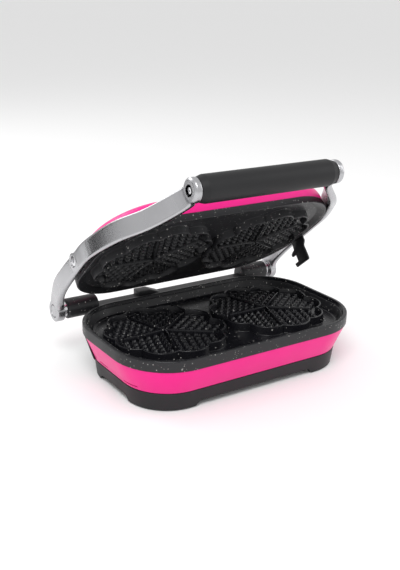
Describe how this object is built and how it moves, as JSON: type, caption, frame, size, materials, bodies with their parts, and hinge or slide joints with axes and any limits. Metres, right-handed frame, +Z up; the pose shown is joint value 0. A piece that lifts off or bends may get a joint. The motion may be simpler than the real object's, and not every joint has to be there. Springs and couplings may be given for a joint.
{
  "type": "waffle maker",
  "caption": "Countertop waffle iron: rounded tray base with heart-shaped moulds, floating upper plate under a domed lid, swung on curved arms by a round handle, with a side latch.",
  "frame": {"origin": "bottom centre of the box of the machine as it stands open: under its middle, on the table", "axes": "+X to the machine's right, +Y to the rear (the hinge side), +Z up"},
  "size_m": [0.368, 0.2393, 0.2825],
  "materials": {
    "black_moulding": "fine moulded texture, semi-matte",
    "pink_gloss": "smooth gloss",
    "coated_casting": "nonstick coating with fine light speckle",
    "satin_alloy": "bead-blasted satin casting",
    "bright_steel": "turned and polished",
    "grip_black": "matte",
    "rubber_foot": "matte rubber",
    "ceramic": "matt moulded insulator",
    "lamp_lens": "clear tinted lens"
  },
  "bodies": {
    "base": {"base_shell": "black_moulding", "body_band": "pink_gloss", "rear_housing": "black_moulding", "cord_gland": "rubber_foot", "lower_plate": "coated_casting", "lower_element": "bright_steel", "lower_reflector": "bright_steel", "lower_thermostat": "ceramic", "thermal_fuse": "ceramic", "terminal_block": "ceramic", "catch_stud": "bright_steel", "hinge_barrel_left": "coated_casting", "hinge_barrel_right": "coated_casting", "hinge_pin_left": "bright_steel", "hinge_pin_right": "bright_steel", "foot_pad_front_left": "rubber_foot", "foot_pad_front_right": "rubber_foot", "foot_pad_rear_left": "rubber_foot", "foot_pad_rear_right": "rubber_foot", "base_screw_front_left": "bright_steel", "base_screw_front_right": "bright_steel", "base_screw_rear_left": "bright_steel", "base_screw_rear_right": "bright_steel"},
    "arms": {"arm_left": "satin_alloy", "arm_right": "satin_alloy", "hinge_spacer_left": "bright_steel", "hinge_spacer_right": "bright_steel", "hinge_cap_left": "satin_alloy", "hinge_cap_right": "satin_alloy", "handle_grip": "grip_black", "handle_rod": "bright_steel", "handle_screw_left": "bright_steel", "handle_screw_right": "bright_steel", "pivot_screw_left": "bright_steel", "pivot_screw_right": "bright_steel"},
    "lid": {"lid_cover": "pink_gloss", "lid_chassis": "black_moulding", "upper_plate": "coated_casting", "upper_element": "bright_steel", "upper_reflector": "bright_steel", "upper_thermostat": "ceramic", "pivot_bush_left": "black_moulding", "pivot_bush_right": "black_moulding", "power_light": "lamp_lens", "ready_light": "lamp_lens", "latch_pin": "bright_steel"},
    "latch": {"latch": "black_moulding"}
  },
  "joints": [
    {"name": "arm_hinge", "type": "hinge", "parent": "base", "child": "arms", "pos_m": [0, 0.10516, 0.0706], "axis": [1, 0, 0], "range_deg": [-50, 40.97]},
    {"name": "lid_float", "type": "hinge", "parent": "arms", "child": "lid", "pos_m": [0, 0.02982, 0.16106], "axis": [1, 0, 0], "range_deg": [-1.2, 1.2]},
    {"name": "latch_turn", "type": "hinge", "parent": "lid", "child": "latch", "pos_m": [0.1735, 0.04682, 0.13305], "axis": [1, 0, 0], "range_deg": [-30, 26]}
  ]
}
